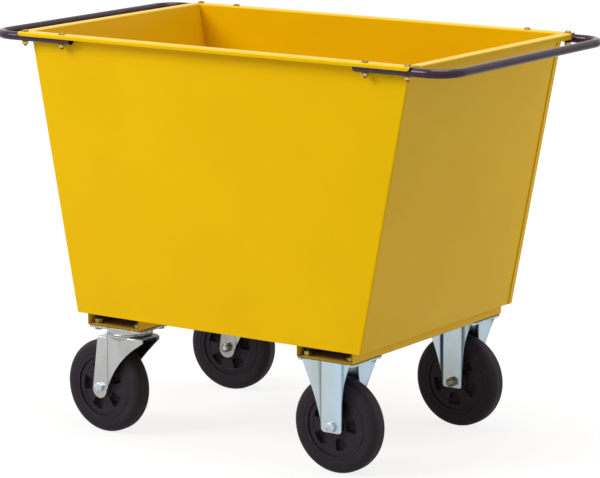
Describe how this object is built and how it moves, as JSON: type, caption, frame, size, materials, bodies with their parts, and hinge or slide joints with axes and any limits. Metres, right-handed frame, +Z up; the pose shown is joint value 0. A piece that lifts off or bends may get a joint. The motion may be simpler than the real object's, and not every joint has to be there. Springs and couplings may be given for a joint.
{
  "type": "feed cart",
  "caption": "Hand-pushed feed cart: an open tub of folded sheet steel with sloping ends, on swivel and fixed castors, with a bent tube handle at each end.",
  "frame": {"origin": "on the floor under the middle of the tub", "axes": "+X along the length towards the end with the fixed castors, +Y across to the rear side, +Z up"},
  "size_m": [1.144, 0.646, 0.8576],
  "materials": {
    "yellow_paint": "powder coat, semi-gloss, slightly orange-peeled",
    "black_enamel": "black enamel on steel tube, satin",
    "zinc_plate": "bright zinc plate, faintly blue, satin",
    "bright_steel": "ground bearing steel",
    "black_plastic": "moulded polypropylene, matt",
    "black_rubber": "solid black rubber, dusty"
  },
  "bodies": {
    "cart": {"axle_bolt_fixed_front": "zinc_plate", "axle_bolt_fixed_rear": "zinc_plate", "axle_nut_fixed_front": "zinc_plate", "axle_nut_fixed_rear": "zinc_plate", "axle_sleeve_fixed_front": "bright_steel", "axle_sleeve_fixed_rear": "bright_steel", "castor_plate_bolts": "zinc_plate", "castor_plate_nuts": "zinc_plate", "castor_plate_washers": "zinc_plate", "cross_member_left": "yellow_paint", "cross_member_right": "yellow_paint", "end_panel_left": "yellow_paint", "end_panel_right": "yellow_paint", "floor_pan": "yellow_paint", "fork_fixed_front": "zinc_plate", "fork_fixed_rear": "zinc_plate", "handle_bolts": "zinc_plate", "handle_left": "black_enamel", "handle_nuts": "zinc_plate", "handle_right": "black_enamel", "king_nut_swivel_front": "zinc_plate", "king_nut_swivel_rear": "zinc_plate", "king_pin_swivel_front": "zinc_plate", "king_pin_swivel_rear": "zinc_plate", "side_panel_front": "yellow_paint", "side_panel_rear": "yellow_paint", "top_plate_swivel_front": "zinc_plate", "top_plate_swivel_rear": "zinc_plate"},
    "swivel_front": {"fork_swivel_front": "zinc_plate", "race_balls_swivel_front": "bright_steel", "axle_bolt_swivel_front": "zinc_plate", "axle_nut_swivel_front": "zinc_plate", "axle_sleeve_swivel_front": "bright_steel"},
    "swivel_rear": {"fork_swivel_rear": "zinc_plate", "race_balls_swivel_rear": "bright_steel", "axle_bolt_swivel_rear": "zinc_plate", "axle_nut_swivel_rear": "zinc_plate", "axle_sleeve_swivel_rear": "bright_steel"},
    "wheel_swivel_front": {"wheel_rim_swivel_front": "black_plastic", "tyre_swivel_front": "black_rubber", "bearing_rollers_swivel_front": "bright_steel"},
    "wheel_swivel_rear": {"wheel_rim_swivel_rear": "black_plastic", "tyre_swivel_rear": "black_rubber", "bearing_rollers_swivel_rear": "bright_steel"},
    "wheel_fixed_front": {"wheel_rim_fixed_front": "black_plastic", "tyre_fixed_front": "black_rubber", "bearing_rollers_fixed_front": "bright_steel"},
    "wheel_fixed_rear": {"wheel_rim_fixed_rear": "black_plastic", "tyre_fixed_rear": "black_rubber", "bearing_rollers_fixed_rear": "bright_steel"}
  },
  "joints": [
    {"name": "swivel_front_turn", "type": "hinge", "parent": "cart", "child": "swivel_front", "pos_m": [-0.266, -0.232, 0.22], "axis": [0, 0, 1], "continuous": true},
    {"name": "swivel_rear_turn", "type": "hinge", "parent": "cart", "child": "swivel_rear", "pos_m": [-0.266, 0.232, 0.22], "axis": [0, 0, 1], "continuous": true},
    {"name": "wheel_swivel_front_roll", "type": "hinge", "parent": "swivel_front", "child": "wheel_swivel_front", "pos_m": [-0.32494, -0.22943, 0.1], "axis": [0.0436, 0.999, 0], "continuous": true},
    {"name": "wheel_swivel_rear_roll", "type": "hinge", "parent": "swivel_rear", "child": "wheel_swivel_rear", "pos_m": [-0.32462, 0.22532, 0.1], "axis": [-0.1132, 0.9936, 0], "continuous": true},
    {"name": "wheel_fixed_front_roll", "type": "hinge", "parent": "cart", "child": "wheel_fixed_front", "pos_m": [0.266, -0.232, 0.1], "axis": [0, 1, 0], "continuous": true},
    {"name": "wheel_fixed_rear_roll", "type": "hinge", "parent": "cart", "child": "wheel_fixed_rear", "pos_m": [0.266, 0.232, 0.1], "axis": [0, 1, 0], "continuous": true}
  ]
}
